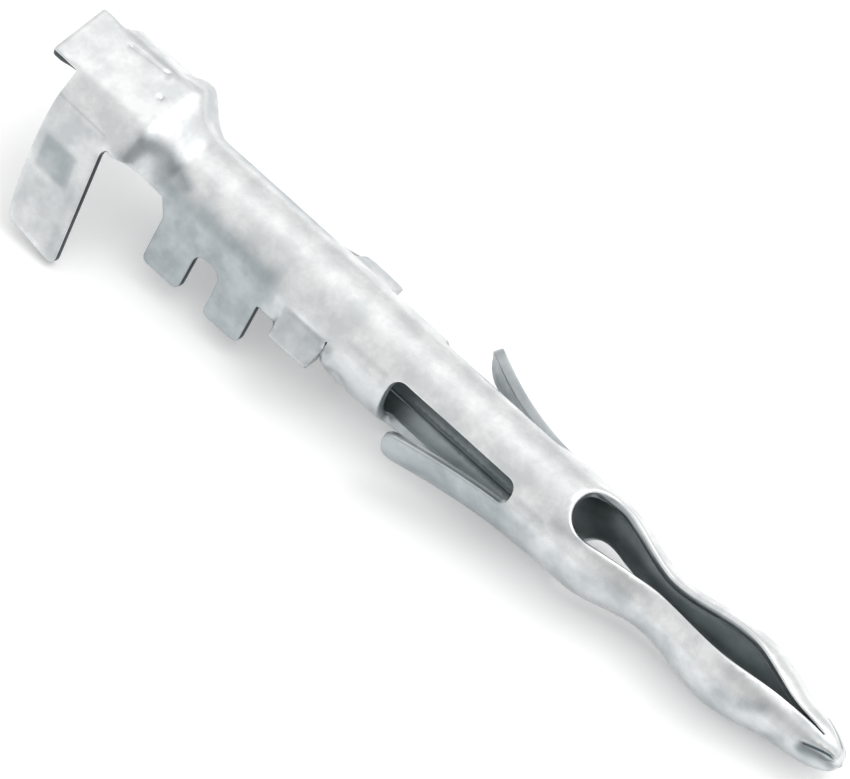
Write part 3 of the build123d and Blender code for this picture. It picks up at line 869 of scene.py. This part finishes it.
class FoldTree:
    """The node tree that folds the flat strip and gives it its thickness."""

    weld_gap = 0.0005
    number_names = ("radius", "roundness", "swell", "level", "root", "flare", "lance_shift", "pressed",
                    "wall", "drop", "enclosed", "inner_face")

    def __init__(self, name: str) -> None:
        """Start an empty tree with its geometry sockets."""
        self.tree = bpy.data.node_groups.new(name, "GeometryNodeTree")
        face = self.tree.interface
        face.new_socket("Geometry", in_out="INPUT", socket_type="NodeSocketGeometry")
        face.new_socket("Geometry", in_out="OUTPUT", socket_type="NodeSocketGeometry")
        self.identifiers: dict[str, str] = {}
        self.start = None
        self.stored = {
            number: Term(self.tree, add_node(
                self.tree, "GeometryNodeInputNamedAttribute", {"data_type": "FLOAT"},
                {"Name": number}).outputs["Attribute"])
            for number in self.number_names}

    def add_inputs(self, names: list[str], kind: str) -> None:
        """Add named inputs of one kind."""
        for name in names:
            socket = self.tree.interface.new_socket(name, in_out="INPUT", socket_type=kind)
            self.identifiers[name] = socket.identifier

    def given(self, name: str) -> Term:
        """A named input as a term."""
        return Term(self.tree, self.start.outputs[name])

    def flat_section(self, across: Term, flap: Term) -> tuple[Term, Term]:
        """Section with a flat floor, bends and leaning walls, as across and up.

        Args:
            across: distance from the middle, as on the rolled tube.
            flap: length of wing past the crease.

        Returns:
            Both coordinates.
        """
        over_floor, over_bend, over_wall = self.stretches(across)
        radius, wall_flare = self.given("Bend Radius"), self.given("Wall Flare")
        flat = over_floor * self.given("Floor Half Width")
        turn = over_bend * (wall_flare * -1.0 + math.pi / 2)
        wall = over_wall * self.given("Wall Length")
        flare, level = self.stored["flare"], self.stored["level"]
        y = flat + radius * turn.apply("SINE") + wall * wall_flare.apply("SINE") + flap * flare.apply("SINE")
        z = (self.given("Floor Height") - radius + radius * turn.apply("COSINE")
             - wall * wall_flare.apply("COSINE") - flap * flare.apply("COSINE"))
        return (y.toward(flat + radius * turn + wall, level),
                z.toward(self.given("Floor Height"), level))

    def stretches(self, across: Term) -> list[Term]:
        """How far a place lies over the floor, the bend and the wall, each from 0 to 1."""
        crease = self.given("Crease")
        ends = [crease * self.given("Floor Share"), crease * self.given("Bend Share"), crease]
        return [across.between(start, end) for start, end in zip([0.0] + ends, ends)]

    def swollen(self, across: Term) -> tuple[Term, Term]:
        """How far the neck's shoulder swells outwards and upwards."""
        _, over_bend, over_wall = self.stretches(across)
        swell, at_bend = self.stored["swell"], self.given("Swell At Bend")
        out = over_bend * at_bend + over_wall * (self.given("Swell At Crease") - at_bend)
        return out * swell, over_wall * self.given("Swell Up") * swell

    def round_section(self, across: Term) -> tuple[Term, Term, Term]:
        """Section rolled round the axis, with straight flaps past its root.

        Returns:
            Across, up, and the length of flap.
        """
        tube, root, flare = self.given("Tube Radius"), self.stored["root"], self.stored["flare"]
        angle = (across / tube).apply("MINIMUM", root)
        flap = (across - tube * root).apply("MAXIMUM", 0.0)
        radius = self.stored["radius"]
        y = radius * angle.apply("SINE") + flap * flare.apply("SINE")
        z = radius * angle.apply("COSINE") - flap * flare.apply("COSINE")
        return y, z, flap

    def build(self, settings: dict[str, float]) -> None:
        """Make the whole tree.

        Args:
            settings: names of the number inputs, with the values they will get.
        """
        tree = self.tree
        self.add_inputs(list(settings), "NodeSocketFloat")
        self.add_inputs(["Plate", "Shaded Inner Plate", "Cut Face"], "NodeSocketMaterial")
        self.start = add_node(tree, "NodeGroupInput")
        place = add_node(tree, "ShaderNodeSeparateXYZ", {},
                         {0: add_node(tree, "GeometryNodeInputPosition").outputs[0]})
        along, signed = Term(tree, place.outputs[0]), Term(tree, place.outputs[1])
        across, side = signed.apply("ABSOLUTE"), signed.apply("SIGN")
        round_y, round_z, flap = self.round_section(across)
        flat_y, flat_z = self.flat_section(across, flap)
        roundness = self.stored["roundness"]
        swell_out, swell_up = self.swollen(across)
        y = flat_y.toward(round_y, roundness) + swell_out + self.stored["lance_shift"]
        z = flat_z.toward(round_z, roundness) + swell_up
        y = y * side
        position = add_node(tree, "ShaderNodeCombineXYZ", {}, {0: along.socket, 1: y.socket, 2: z.socket})
        folded = add_node(tree, "GeometryNodeSetPosition", {}, {
            "Geometry": self.start.outputs["Geometry"], "Position": position.outputs[0]})
        closed = add_node(tree, "GeometryNodeMergeByDistance", {}, {
            "Geometry": folded.outputs[0], "Distance": self.weld_gap})
        wall = self.stored["wall"] - self.serration(along)
        drop = self.stored["drop"]
        normal = add_node(tree, "GeometryNodeInputNormal").outputs[0]
        dent, inward, outward = (
            add_node(tree, "ShaderNodeVectorMath", {"operation": "SCALE"},
                     {0: normal, "Scale": amount.socket}).outputs[0]
            for amount in (self.waviness() - self.stored["pressed"], drop - wall, wall - drop * 2.0))
        dented = add_node(tree, "GeometryNodeSetPosition", {}, {
            "Geometry": closed.outputs[0], "Offset": dent})
        stored = add_node(tree, "GeometryNodeStoreNamedAttribute",
                          {"data_type": "FLOAT_VECTOR", "domain": "POINT"},
                          {"Geometry": dented.outputs[0], "Name": "outward", "Value": outward})
        inner = add_node(tree, "GeometryNodeSetPosition", {}, {
            "Geometry": stored.outputs[0], "Offset": inward})
        grown = add_node(tree, "GeometryNodeExtrudeMesh", {"mode": "FACES"}, {
            "Mesh": inner.outputs[0], "Offset Scale": 0.0, "Individual": False})
        way = add_node(tree, "GeometryNodeInputNamedAttribute", {"data_type": "FLOAT_VECTOR"},
                       {"Name": "outward"})
        outer = add_node(tree, "GeometryNodeSetPosition", {}, {
            "Geometry": grown.outputs["Mesh"], "Selection": grown.outputs["Top"],
            "Offset": way.outputs["Attribute"]})
        marked = add_node(tree, "GeometryNodeStoreNamedAttribute",
                          {"data_type": "BOOLEAN", "domain": "FACE"},
                          {"Geometry": outer.outputs[0], "Name": "cut_face", "Value": grown.outputs["Side"]})
        turned = add_node(tree, "GeometryNodeFlipFaces", {}, {"Mesh": inner.outputs[0]})
        inside = add_node(tree, "GeometryNodeStoreNamedAttribute", {"data_type": "FLOAT", "domain": "FACE"}, {
            "Geometry": turned.outputs[0], "Name": "inner_face", "Value": self.stored["enclosed"].socket})
        joined = add_node(tree, "GeometryNodeJoinGeometry")
        tree.links.new(marked.outputs[0], joined.inputs[0])
        tree.links.new(inside.outputs[0], joined.inputs[0])
        welded = add_node(tree, "GeometryNodeMergeByDistance", {}, {
            "Geometry": joined.outputs[0], "Distance": self.weld_gap})
        is_cut = add_node(tree, "GeometryNodeInputNamedAttribute", {"data_type": "BOOLEAN"},
                          {"Name": "cut_face"})
        dressed = add_node(tree, "GeometryNodeRealizeInstances", {}, {"Geometry": welded.outputs[0]})
        for name, where in (("Plate", True), ("Shaded Inner Plate", (self.stored["inner_face"] - 0.5).socket),
                            ("Cut Face", is_cut.outputs["Attribute"])):
            dressed = add_node(tree, "GeometryNodeSetMaterial", {}, {
                "Geometry": dressed.outputs[0], "Selection": where, "Material": self.start.outputs[name]})
        add_node(tree, "NodeGroupOutput", {}, {"Geometry": dressed.outputs[0]})

    def waviness(self) -> Term:
        """Shallow waves that forming leaves in the sheet, from a fixed noise."""
        noise = add_node(self.tree, "ShaderNodeTexNoise", {"noise_dimensions": "4D"}, {
            "Scale": self.given("Wave Scale").socket, "W": self.given("Wave Seed").socket,
            "Detail": 1.0})
        return (Term(self.tree, noise.outputs[0]) - 0.5) * self.given("Wave Height")

    def serration(self, along: Term) -> Term:
        """Depth of the grooves pressed across the inside of the conductor barrel."""
        pitch, first = self.given("Serration Pitch"), self.given("Serration Start")
        nearest = ((along - first) / pitch).apply("ROUND").apply("MAXIMUM", 0.0)
        nearest = nearest.apply("MINIMUM", self.given("Serration Count") - 1.0)
        distance = (along - first - nearest * pitch).apply("ABSOLUTE")
        half = self.given("Serration Width") * 0.5
        share = distance.between(half * 0.5, half) * -1.0 + 1.0
        return share * self.given("Serration Depth")


@dataclass(frozen=True)
class TinPlate:
    """Bright tin over brass strip, plated on the reel and then stamped and rolled.

    The plating is pale and even, with clouds of duller and darker tin, fine lines along the strip
    from rolling and small specks; painted shade is mixed in by a mask and by the marks.  Lengths are in
    millimetres.
    """

    name: str = "tinned_brass"
    colour: str = "eceded"
    cloud_colour: str = "e4e6e7"        # multiplies the colour in the duller clouds
    # the colour that painted shade mixes in, where the attribute named below asks
    shade_mask_colour: str = "b4bbbe"
    painted_shade_colour: str = "1c4450"       # painted shade and painted dark reflection in the marks
    shade_mask: str = "shade_share"
    roughness: float = 0.22
    dull_roughness: float = 0.30
    shade_mask_roughness: float = 0.12      # how much rougher the places of painted shade are
    cloud_size: float = 0.7
    cloud_edges: tuple[float, float] = (0.38, 0.62)
    speck_size: float = 0.16
    speck_share: float = 0.2
    line_width: float = 0.03            # the real lines are finer, too fine to show
    line_length: float = 1.5
    line_roughness: float = 0.02
    wave_size: float = 0.5
    wave_height: float = 0.004
    grain_height: float = 0.0003

    def material(self) -> bpy.types.Material:
        """Build the material."""
        made = bpy.data.materials.new(self.name)
        made.use_nodes = True
        tree = made.node_tree
        tree.nodes.clear()
        place = add_node(tree, "ShaderNodeTexCoord").outputs["Object"]
        drawn_out = add_node(tree, "ShaderNodeMapping", {}, {
            "Vector": place, "Scale": (self.line_width / self.line_length, 1.0, 1.0)}).outputs[0]
        noises = ((place, self.cloud_size, 3.0), (place, self.speck_size, 2.0),
                  (drawn_out, self.line_width, 1.0), (place, self.wave_size, 1.0))
        clouds, specks, lines, waves = (
            Term(tree, add_node(tree, "ShaderNodeTexNoise", {}, {
                "Vector": vector, "Scale": 1 / (size * MM), "Detail": detail}).outputs[0])
            for vector, size, detail in noises)
        low, high = self.cloud_edges
        dull = (clouds * (1 - self.speck_share) + specks * self.speck_share).between(low, high)
        shade_share, painted_shade = (
            Term(tree, add_node(tree, "ShaderNodeAttribute", {"attribute_name": name}).outputs["Fac"])
            for name in (self.shade_mask, "painted_shade"))
        # painted shade: the mask's colour, then the marks' painted shade and dark reflection
        painted_tone = add_node(tree, "ShaderNodeMix", {"data_type": "RGBA"}, {
            0: shade_share.socket, 6: linear(self.colour), 7: linear(self.shade_mask_colour)})
        painted_tone = add_node(tree, "ShaderNodeMix", {"data_type": "RGBA"}, {
            0: painted_shade.socket, 6: painted_tone.outputs["Result"], 7: linear(self.painted_shade_colour)})
        colour = add_node(tree, "ShaderNodeMix", {"data_type": "RGBA", "blend_type": "MULTIPLY"}, {
            0: dull.socket, 6: painted_tone.outputs["Result"], 7: linear(self.cloud_colour)})
        roughness = (dull * (self.dull_roughness - self.roughness) + self.roughness
                     + shade_share * self.shade_mask_roughness + (lines - 0.5) * self.line_roughness * 2.0)
        height = waves * self.wave_height + (specks + lines) * self.grain_height
        bump = add_node(tree, "ShaderNodeBump", {}, {
            "Strength": 1.0, "Distance": MM, "Height": height.socket})
        shader = add_node(tree, "ShaderNodeBsdfPrincipled", {}, {
            "Base Color": colour.outputs["Result"], "Metallic": 1.0, "Roughness": roughness.socket,
            "Normal": bump.outputs[0]})
        add_node(tree, "ShaderNodeOutputMaterial", {}, {"Surface": shader.outputs[0]})
        return made


@dataclass
class CrimpContact:
    """The whole contact, folded from one strip."""

    sizes: Sizes = Sizes()
    serration_start: float = 4.85
    serration_pitch: float = 1.0
    serration_count: int = 3
    serration_width: float = 0.24
    serration_depth: float = 0.05
    wave_scale: float = 0.55            # waves of two millimetres
    wave_height: float = 0.016
    wave_seed: float = 7.0
    crease_sharpness: float = math.radians(60)
    bulge_reach: float = 0.3            # the pin rests within this distance of its bulge
    marks: tuple[PressMark, ...] = (
        PressMark((1.16, 0.43), (2.15, 0.52), 0.15, 0.022, 0.10),       # coined line beside the bend, with painted shade in it and in the dent at its end
        PressMark((2.22, 0.54), (2.26, 0.56), 0.20, 0.035, 0.15),
        PressMark((2.62, 0.06), (2.63, 0.06), 0.17, 0.030, 0.40),       # punch mark, with painted shade in its dimple
        PressMark((0.80, -1.33), (2.30, -1.36), 0.12, 0.005, 0.16),     # line where the wing is bent down, with painted shade in it
        # a band painted darker along the near wing's front edge
        PressMark((2.12, -3.00), (2.14, -4.50), 0.40, 0.0, 0.12),
        PressMark((0.95, 0.98), (3.30, 1.02), 1.30, 0.0, 0.20),         # painted shade on the far wall
        PressMark((3.05, -1.35), (3.18, -0.86), 0.90, 0.0, 0.46),       # the neck's pocket, with a painted dark reflection
        PressMark((3.18, -0.86), (3.57, -0.66), 0.90, 0.0, 0.54),
        PressMark((3.57, -0.66), (3.95, -0.66), 0.80, 0.0, 0.54),
        PressMark((3.95, -0.66), (4.41, -0.79), 0.64, 0.0, 0.46),
        PressMark((8.35, -1.42), (9.25, -1.44), 0.20, 0.010, 0.20),     # line of the ear's bend, with painted shade in it
        PressMark((9.44, -1.62), (9.60, -1.86), 0.60, -0.120),          # burrs and dents of the rear rim, with painted shade in the dents
        PressMark((9.72, -1.94), (9.80, -2.00), 0.28, 0.035, 0.10),
        PressMark((10.02, -2.02), (10.08, -2.10), 0.34, 0.040, 0.25),
        PressMark((9.85, -1.01), (11.05, -1.00), 0.30, 0.014, 0.20),    # crease from the ear to the window, with painted shade in it
        PressMark((15.42, -1.10), (16.20, -1.11), 0.30, 0.020, 0.25),   # and on in front of the window
        PressMark((15.35, 1.04), (16.15, 1.08), 0.34, 0.020),
        PressMark((16.50, -0.92), (17.10, -0.84), 0.55, 0.0, 0.32),     # painted dark reflections on the prongs and the nose
        PressMark((17.75, -1.48), (18.75, -1.20), 0.60, 0.0, 0.26),
        PressMark((21.84, -1.50), (22.47, -1.33), 0.50, 0.0, 0.16),
        PressMark((22.47, -1.33), (23.00, -1.00), 0.50, 0.0, 0.30),
        PressMark((23.60, -0.30), (24.30, -0.33), 0.34, 0.004, 0.28),
        PressMark((24.30, -0.33), (24.85, -0.12), 0.30, 0.004, 0.42),
        PressMark((23.31, -2.05), (23.70, -1.66), 0.40, 0.0, 0.20),
        PressMark((22.25, 1.27), (22.80, 1.27), 1.90, -0.090),          # the far prong bulges further forward
        PressMark((24.20, -1.11), (24.86, -0.70), 0.18, 0.045, 0.97),   # darts where the nose is folded shut, with painted shade in the folds
        PressMark((24.20, 1.11), (24.86, 0.70), 0.13, 0.020, 0.60),
        PressMark((24.20, -1.40), (24.90, -1.20), 0.46, 0.014, 0.60),   # and the hollow below the near one, with painted shade
    )

    def __post_init__(self) -> None:
        """Set out the strip."""
        self.strip = FlatStrip(self.sizes, marks=self.marks)
        self.plan = FoldPlan(self.strip)

    def flat_mesh(self) -> bpy.types.Mesh:
        """The flat strip with its stored numbers, in millimetres."""
        places, triangles, drop = self.strip.mesh()
        numbers = self.plan.attributes(places)
        numbers["drop"] = drop
        leaning = self.plan.lean(places)
        mesh = bpy.data.meshes.new("flat_strip")
        points = np.column_stack([leaning, np.zeros(len(places))])
        mesh.from_pydata(points.tolist(), [], triangles.tolist())
        for name, values in numbers.items():
            layer = mesh.attributes.new(name, "FLOAT", "POINT")
            layer.data.foreach_set("value", values.astype(np.float32))
        LOG.info("flat strip: %d points, %d triangles", len(places), len(triangles))
        return mesh

    def fold(self, finishes: dict[str, bpy.types.Material]) -> bpy.types.Object:
        """Fold the strip.

        Args:
            finishes: materials by the tree's input names.

        Returns:
            The folded contact, in millimetres in the strip's frame.
        """
        s = self.sizes
        settings = {
            "Tube Radius": s.tube_radius, "Crease": s.crease, "Floor Share": s.barrel_shares[0],
            "Bend Share": s.barrel_shares[1], "Floor Height": s.floor_height,
            "Floor Half Width": s.floor_half_width, "Bend Radius": s.floor_bend_radius,
            "Wall Flare": math.radians(s.wall_flare), "Wall Length": s.wall_length,
            "Swell At Bend": s.swell_out[0], "Swell At Crease": s.swell_out[1], "Swell Up": s.swell_up,
            "Wave Scale": self.wave_scale, "Wave Height": self.wave_height, "Wave Seed": self.wave_seed,
            "Serration Start": self.serration_start,
            "Serration Pitch": self.serration_pitch, "Serration Count": float(self.serration_count),
            "Serration Width": self.serration_width, "Serration Depth": self.serration_depth,
        }
        fold = FoldTree("fold_strip")
        fold.build(settings)
        flat = bpy.data.objects.new("flat_strip", self.flat_mesh())
        bpy.context.scene.collection.objects.link(flat)
        folding = flat.modifiers.new("fold", "NODES")
        folding.node_group = fold.tree
        for name, value in {**settings, **finishes}.items():
            folding[fold.identifiers[name]] = value
        bpy.context.view_layer.update()
        graph = bpy.context.evaluated_depsgraph_get()
        mesh = bpy.data.meshes.new_from_object(flat.evaluated_get(graph), depsgraph=graph)
        bpy.data.objects.remove(flat)
        mesh.name = "pin_contact_strip"
        contact = bpy.data.objects.new("contact_strip", mesh)
        bpy.context.scene.collection.objects.link(contact)
        return contact

    def rest(self, mesh: bpy.types.Mesh) -> None:
        """Lay the folded strip as it comes to rest, in metres, where the solid lies.

        Args:
            mesh: the folded strip in millimetres, changed in place.
        """
        s = self.sizes
        points = np.array([v.co for v in mesh.vertices])
        wings = points[points[:, 0] < s.neck_start + s.wing_leans[0]]
        near_tip, far_tip = (Vector(half[half[:, 2].argmin()])
                             for half in (wings[wings[:, 1] < 0], wings[wings[:, 1] > 0]))
        bulge = points[np.abs(points[:, 0] - s.bulge[0]) < self.bulge_reach]
        bulge = bulge[bulge[:, 1] < 0]
        pin = Vector(bulge[bulge[:, 2].argmin()])
        up = (far_tip - near_tip).cross(near_tip - pin).normalized()
        along = (Vector((1, 0, 0)) - up * up.x).normalized()
        turn = Matrix((along, up.cross(along), up))
        mesh.transform(Matrix.Scale(MM, 4) @ turn.to_4x4())
        points = np.array([v.co for v in mesh.vertices])
        low, high = points.min(axis=0), points.max(axis=0)
        cad_low, cad_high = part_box("pin_contact")
        shift = (np.array(cad_low) + np.array(cad_high)) / 2 - (low + high) / 2
        shift[2] = cad_low.z - low[2]
        mesh.transform(Matrix.Translation(Vector(shift)))

    def build(self) -> bpy.types.Object:
        """Build the contact and let it stand for the solid.

        Returns:
            The finished object.
        """
        contact = self.fold({
            "Plate": TinPlate().material(),
            # the same tin inside the tube, more matt than outside and painted greyer as shade
            "Shaded Inner Plate": TinPlate("shaded_inner_tin", colour="9fa6a7", shade_mask_colour="9fa6a7",
                                    roughness=0.34).material(),
            # sheared after plating, so its edges are dull; those of both barrels get painted shade
            "Cut Face": TinPlate("sheared_edge", colour="c0c5c7", shade_mask_colour="474f52",
                                 shade_mask="shaded_cut_face", roughness=0.32).material()})
        mesh = contact.data
        self.rest(mesh)
        mesh.polygons.foreach_set("use_smooth", np.ones(len(mesh.polygons), bool))
        mesh.set_sharp_from_angle(angle=self.crease_sharpness)
        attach(contact, "root")
        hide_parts("pin_contact")
        LOG.info("contact: %d faces", len(mesh.polygons))
        return contact


@dataclass
class Studio:
    """Floor, world, lamp and the camera at the photograph's angle."""

    sizes: Sizes
    axis_tilt: float = math.asin(0.29)          # the strip's axis toward the camera
    axis_roll: float = math.radians(30)         # the strip turned about its axis
    axis_turn: float = math.radians(42)         # the axis below the picture's horizontal
    scale: float = 43.14                        # pixels of a millimetre
    image_size: tuple[int, int] = (850, 779)
    wire_end: tuple[float, float] = (68.54, 69.82)      # pixel of the strip's origin
    lens: float = 1400.0
    sensor: float = 36.0
    clip_shares: tuple[float, float] = (0.2, 10.0)      # of the camera's distance
    floor_size: float = 3.0
    floor_colour: str = "f4f4f4"
    floor_roughness: float = 0.9
    floor_lift: float = 0.16            # makes the pale floor white to the eye and to the metal
    room_level: float = 0.90
    ceiling_level: float = 0.50         # how much lighter the room is overhead
    ceiling: tuple[float, float, float] = (0.40, 0.38, 0.83)
    ceiling_spread: tuple[float, float] = (0.62, 0.95)
    openings: tuple[tuple[float, float, float], ...] = (
        (0.30, -0.66, 0.66), (0.50, -0.78, 0.38), (0.72, -0.66, 0.15))
    opening_level: float = -0.30        # a dark doorway in the room, low to the right of the camera
    opening_spread: tuple[float, float] = (0.88, 1.0)
    lamp_way: tuple[float, float, float] = (0.22, 0.44, 0.87)
    lamp_distance: float = 1.6
    lamp_size: float = 0.9
    lamp_power: float = 4.0

    def __post_init__(self) -> None:
        """Find the strip's frame in the room from the record's mounts."""
        mounts = {m["name"]: m for m in frame["record"]["mounts"]}
        pin = mounts["split_pin"]
        self.axis = Vector(pin["axis"]).normalized()
        self.origin = Vector(pin["pos_m"]) - self.axis * self.sizes.bulge[0] * MM

    def build_camera(self) -> None:
        """Look along the photograph's direction with a long lens."""
        y = Vector((0, 0, 1)).cross(self.axis).normalized()
        z = self.axis.cross(y)
        room = Matrix((self.axis, y, z)).transposed()
        tilt, roll, turn = self.axis_tilt, self.axis_roll, self.axis_turn
        back = room @ Vector((math.sin(tilt), -math.cos(tilt) * math.sin(roll),
                              math.cos(tilt) * math.cos(roll)))
        first = room @ Vector((math.cos(tilt), math.sin(tilt) * math.sin(roll),
                               -math.sin(tilt) * math.cos(roll)))
        second = room @ Vector((0, -math.cos(roll), -math.sin(roll)))
        right = first * math.cos(turn) - second * math.sin(turn)
        up = -first * math.sin(turn) - second * math.cos(turn)
        width, height = self.image_size
        target = (self.origin + right * ((width / 2 - self.wire_end[0]) / self.scale * MM)
                  - up * ((height / 2 - self.wire_end[1]) / self.scale * MM))
        data = bpy.data.cameras.new("camera")
        data.lens, data.sensor_width, data.sensor_fit = self.lens, self.sensor, "HORIZONTAL"
        distance = width / self.scale * MM * self.lens / self.sensor
        data.clip_start, data.clip_end = (distance * share for share in self.clip_shares)
        camera = bpy.data.objects.new("camera", data)
        camera.matrix_world = Matrix.Translation(target + back * distance) @ Matrix(
            (right, up, back)).transposed().to_4x4()
        bpy.context.scene.collection.objects.link(camera)
        bpy.context.scene.camera = camera

    def build_floor(self) -> None:
        """A wide pale floor that looks white and keeps the shadow."""
        size = self.floor_size
        mesh = bpy.data.meshes.new("floor")
        mesh.from_pydata([(-size, -size, 0), (size, -size, 0), (size, size, 0), (-size, size, 0)], [],
                         [(0, 1, 2, 3)])
        floor = bpy.data.objects.new("floor", mesh)
        bpy.context.scene.collection.objects.link(floor)
        made = bpy.data.materials.new("pale_floor")
        made.use_nodes = True
        tree = made.node_tree
        tree.nodes.clear()
        shader = add_node(tree, "ShaderNodeBsdfPrincipled", {}, {
            "Base Color": linear(self.floor_colour), "Roughness": self.floor_roughness,
            "Specular IOR Level": 0.0})
        path = add_node(tree, "ShaderNodeLightPath")
        camera, glossy, through = (Term(tree, path.outputs[name]) for name in (
            "Is Camera Ray", "Is Glossy Ray", "Is Transmission Ray"))
        seen = camera.apply("MAXIMUM", glossy).apply("MAXIMUM", through)
        lift = add_node(tree, "ShaderNodeEmission", {}, {
            "Color": (1, 1, 1, 1), "Strength": (seen * self.floor_lift).socket})
        both = add_node(tree, "ShaderNodeAddShader", {}, {0: shader.outputs[0], 1: lift.outputs[0]})
        add_node(tree, "ShaderNodeOutputMaterial", {}, {"Surface": both.outputs[0]})
        mesh.materials.append(made)

    def build_light(self) -> None:
        """A pale room, lighter overhead and with one dark opening, and a soft lamp above."""
        world = bpy.data.worlds.new("studio")
        bpy.context.scene.world = world
        world.use_nodes = True
        tree = world.node_tree
        tree.nodes.clear()
        way = add_node(tree, "ShaderNodeTexCoord").outputs["Generated"]

        def patch(toward: tuple[float, float, float], spread: tuple[float, float]) -> Term:
            """How much a direction lies in a soft round patch of the room."""
            dot = add_node(tree, "ShaderNodeVectorMath", {"operation": "DOT_PRODUCT"},
                           {0: way, 1: Vector(toward).normalized()})
            share = Term(tree, dot.outputs["Value"]).between(*spread)
            return share * share * (share * -2.0 + 3.0)

        doorway = patch(self.openings[0], self.opening_spread)
        for toward in self.openings[1:]:
            doorway = doorway.apply("MAXIMUM", patch(toward, self.opening_spread))
        level = (patch(self.ceiling, self.ceiling_spread) * self.ceiling_level
                 + doorway * self.opening_level + self.room_level)
        background = add_node(tree, "ShaderNodeBackground", {}, {
            "Color": (1, 1, 1, 1), "Strength": level.socket})
        add_node(tree, "ShaderNodeOutputWorld", {}, {"Surface": background.outputs[0]})
        data = bpy.data.lights.new("soft_lamp", "AREA")
        data.shape, data.size, data.energy = "DISK", self.lamp_size, self.lamp_power
        lamp = bpy.data.objects.new("soft_lamp", data)
        toward = Vector(self.lamp_way).normalized()
        lamp.location = toward * self.lamp_distance
        lamp.rotation_euler = toward.to_track_quat("Z", "Y").to_euler()
        bpy.context.scene.collection.objects.link(lamp)

    def build(self) -> None:
        """Set the whole studio."""
        self.build_floor()
        self.build_light()
        self.build_camera()
        bpy.context.scene.view_settings.view_transform = "Standard"


def main() -> None:
    """Build the contact and its studio."""
    logging.basicConfig(level=logging.INFO, format="%(name)s: %(message)s")
    contact = CrimpContact()
    contact.build()
    Studio(contact.sizes).build()


if __name__ == "__main__":
    main()
